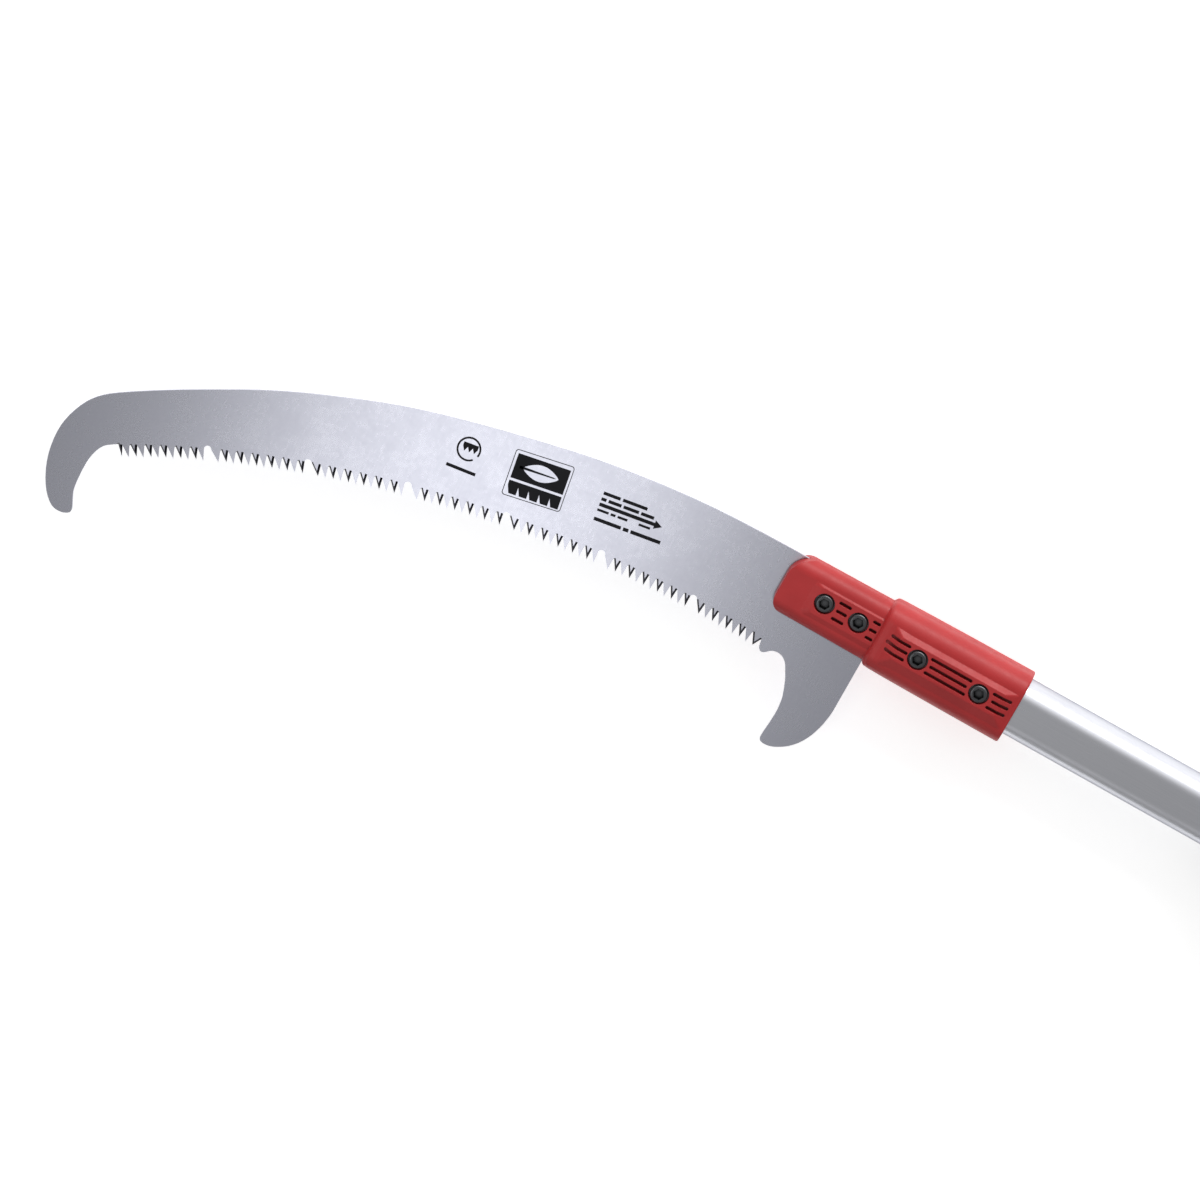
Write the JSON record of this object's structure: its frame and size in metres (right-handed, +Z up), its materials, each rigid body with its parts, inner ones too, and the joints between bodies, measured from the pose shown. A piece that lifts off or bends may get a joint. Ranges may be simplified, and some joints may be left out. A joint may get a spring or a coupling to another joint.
{
  "type": "telescoping pole saw",
  "caption": "Telescoping pole saw: a curved hooked pruning blade bolted in a two-part moulded head on an oval aluminium pole that slides and locks with flip levers.",
  "frame": {"origin": "bottom centre of the bounding box of the saw lying flat, pole collapsed", "axes": "+X along the pole toward the butt cap, +Y toward the blade's spine, +Z up, normal to the blade's plane"},
  "size_m": [2.1745, 0.2062, 0.0532],
  "materials": {
    "saw_steel": "satin, ground",
    "red_nylon": "fine moulded texture, semi-gloss",
    "black_steel": "black oxide",
    "zinc_steel": "zinc plated",
    "anodised": "clear anodised, satin",
    "black_nylon": "moulded, matte",
    "shoe_nylon": "natural acetal",
    "grip_rubber": "moulded rubber, matte"
  },
  "bodies": {
    "pole_outer": {"outer_tube": "anodised", "lower_lock_body": "black_nylon", "lower_lever_pin": "zinc_steel", "lower_lock_rivets": "zinc_steel", "hand_grip": "grip_rubber", "end_cap": "grip_rubber"},
    "pole_middle": {"middle_tube": "anodised", "middle_tube_bush": "black_nylon", "upper_lock_body": "black_nylon", "upper_lever_pin": "zinc_steel", "upper_lock_rivets": "zinc_steel"},
    "pole_inner": {"inner_tube": "anodised", "inner_tube_bush": "black_nylon", "tube_insert": "black_nylon", "crush_sleeves": "zinc_steel", "head_shell_front": "red_nylon", "head_shell_back": "red_nylon", "blade": "saw_steel", "blade_screws": "black_steel", "pole_screws": "black_steel", "head_washers": "black_steel", "blade_nuts": "zinc_steel", "pole_nuts": "zinc_steel"},
    "lower_lever": {"lower_lever": "red_nylon"},
    "lower_shoe": {"lower_clamp_shoe": "shoe_nylon"},
    "upper_lever": {"upper_lever": "red_nylon"},
    "upper_shoe": {"upper_clamp_shoe": "shoe_nylon"}
  },
  "joints": [
    {"name": "middle_slide", "type": "slide", "parent": "pole_outer", "child": "pole_middle", "axis": [-1, 0, 0], "range_m": [0, 1.1]},
    {"name": "inner_slide", "type": "slide", "parent": "pole_middle", "child": "pole_inner", "axis": [-1, 0, 0], "range_m": [0, 1.05]},
    {"name": "lower_lever_hinge", "type": "hinge", "parent": "pole_outer", "child": "lower_lever", "pos_m": [-0.28772, 0.07641, 0.0472], "axis": [0, -1, 0], "range_deg": [0, 90]},
    {"name": "upper_lever_hinge", "type": "hinge", "parent": "pole_middle", "child": "upper_lever", "pos_m": [-0.38372, 0.07641, 0.0451], "axis": [0, -1, 0], "range_deg": [0, 90]},
    {"name": "lower_shoe_lift", "type": "slide", "parent": "pole_outer", "child": "lower_shoe", "axis": [0, 0, 1], "range_m": [0, 0.001]},
    {"name": "upper_shoe_lift", "type": "slide", "parent": "pole_middle", "child": "upper_shoe", "axis": [0, 0, 1], "range_m": [0, 0.001]}
  ],
  "couplings": [
    {"joint": "lower_shoe_lift", "follows": "lower_lever_hinge", "m_per_rad": 0.0006303},
    {"joint": "upper_shoe_lift", "follows": "upper_lever_hinge", "m_per_rad": 0.0006303}
  ]
}
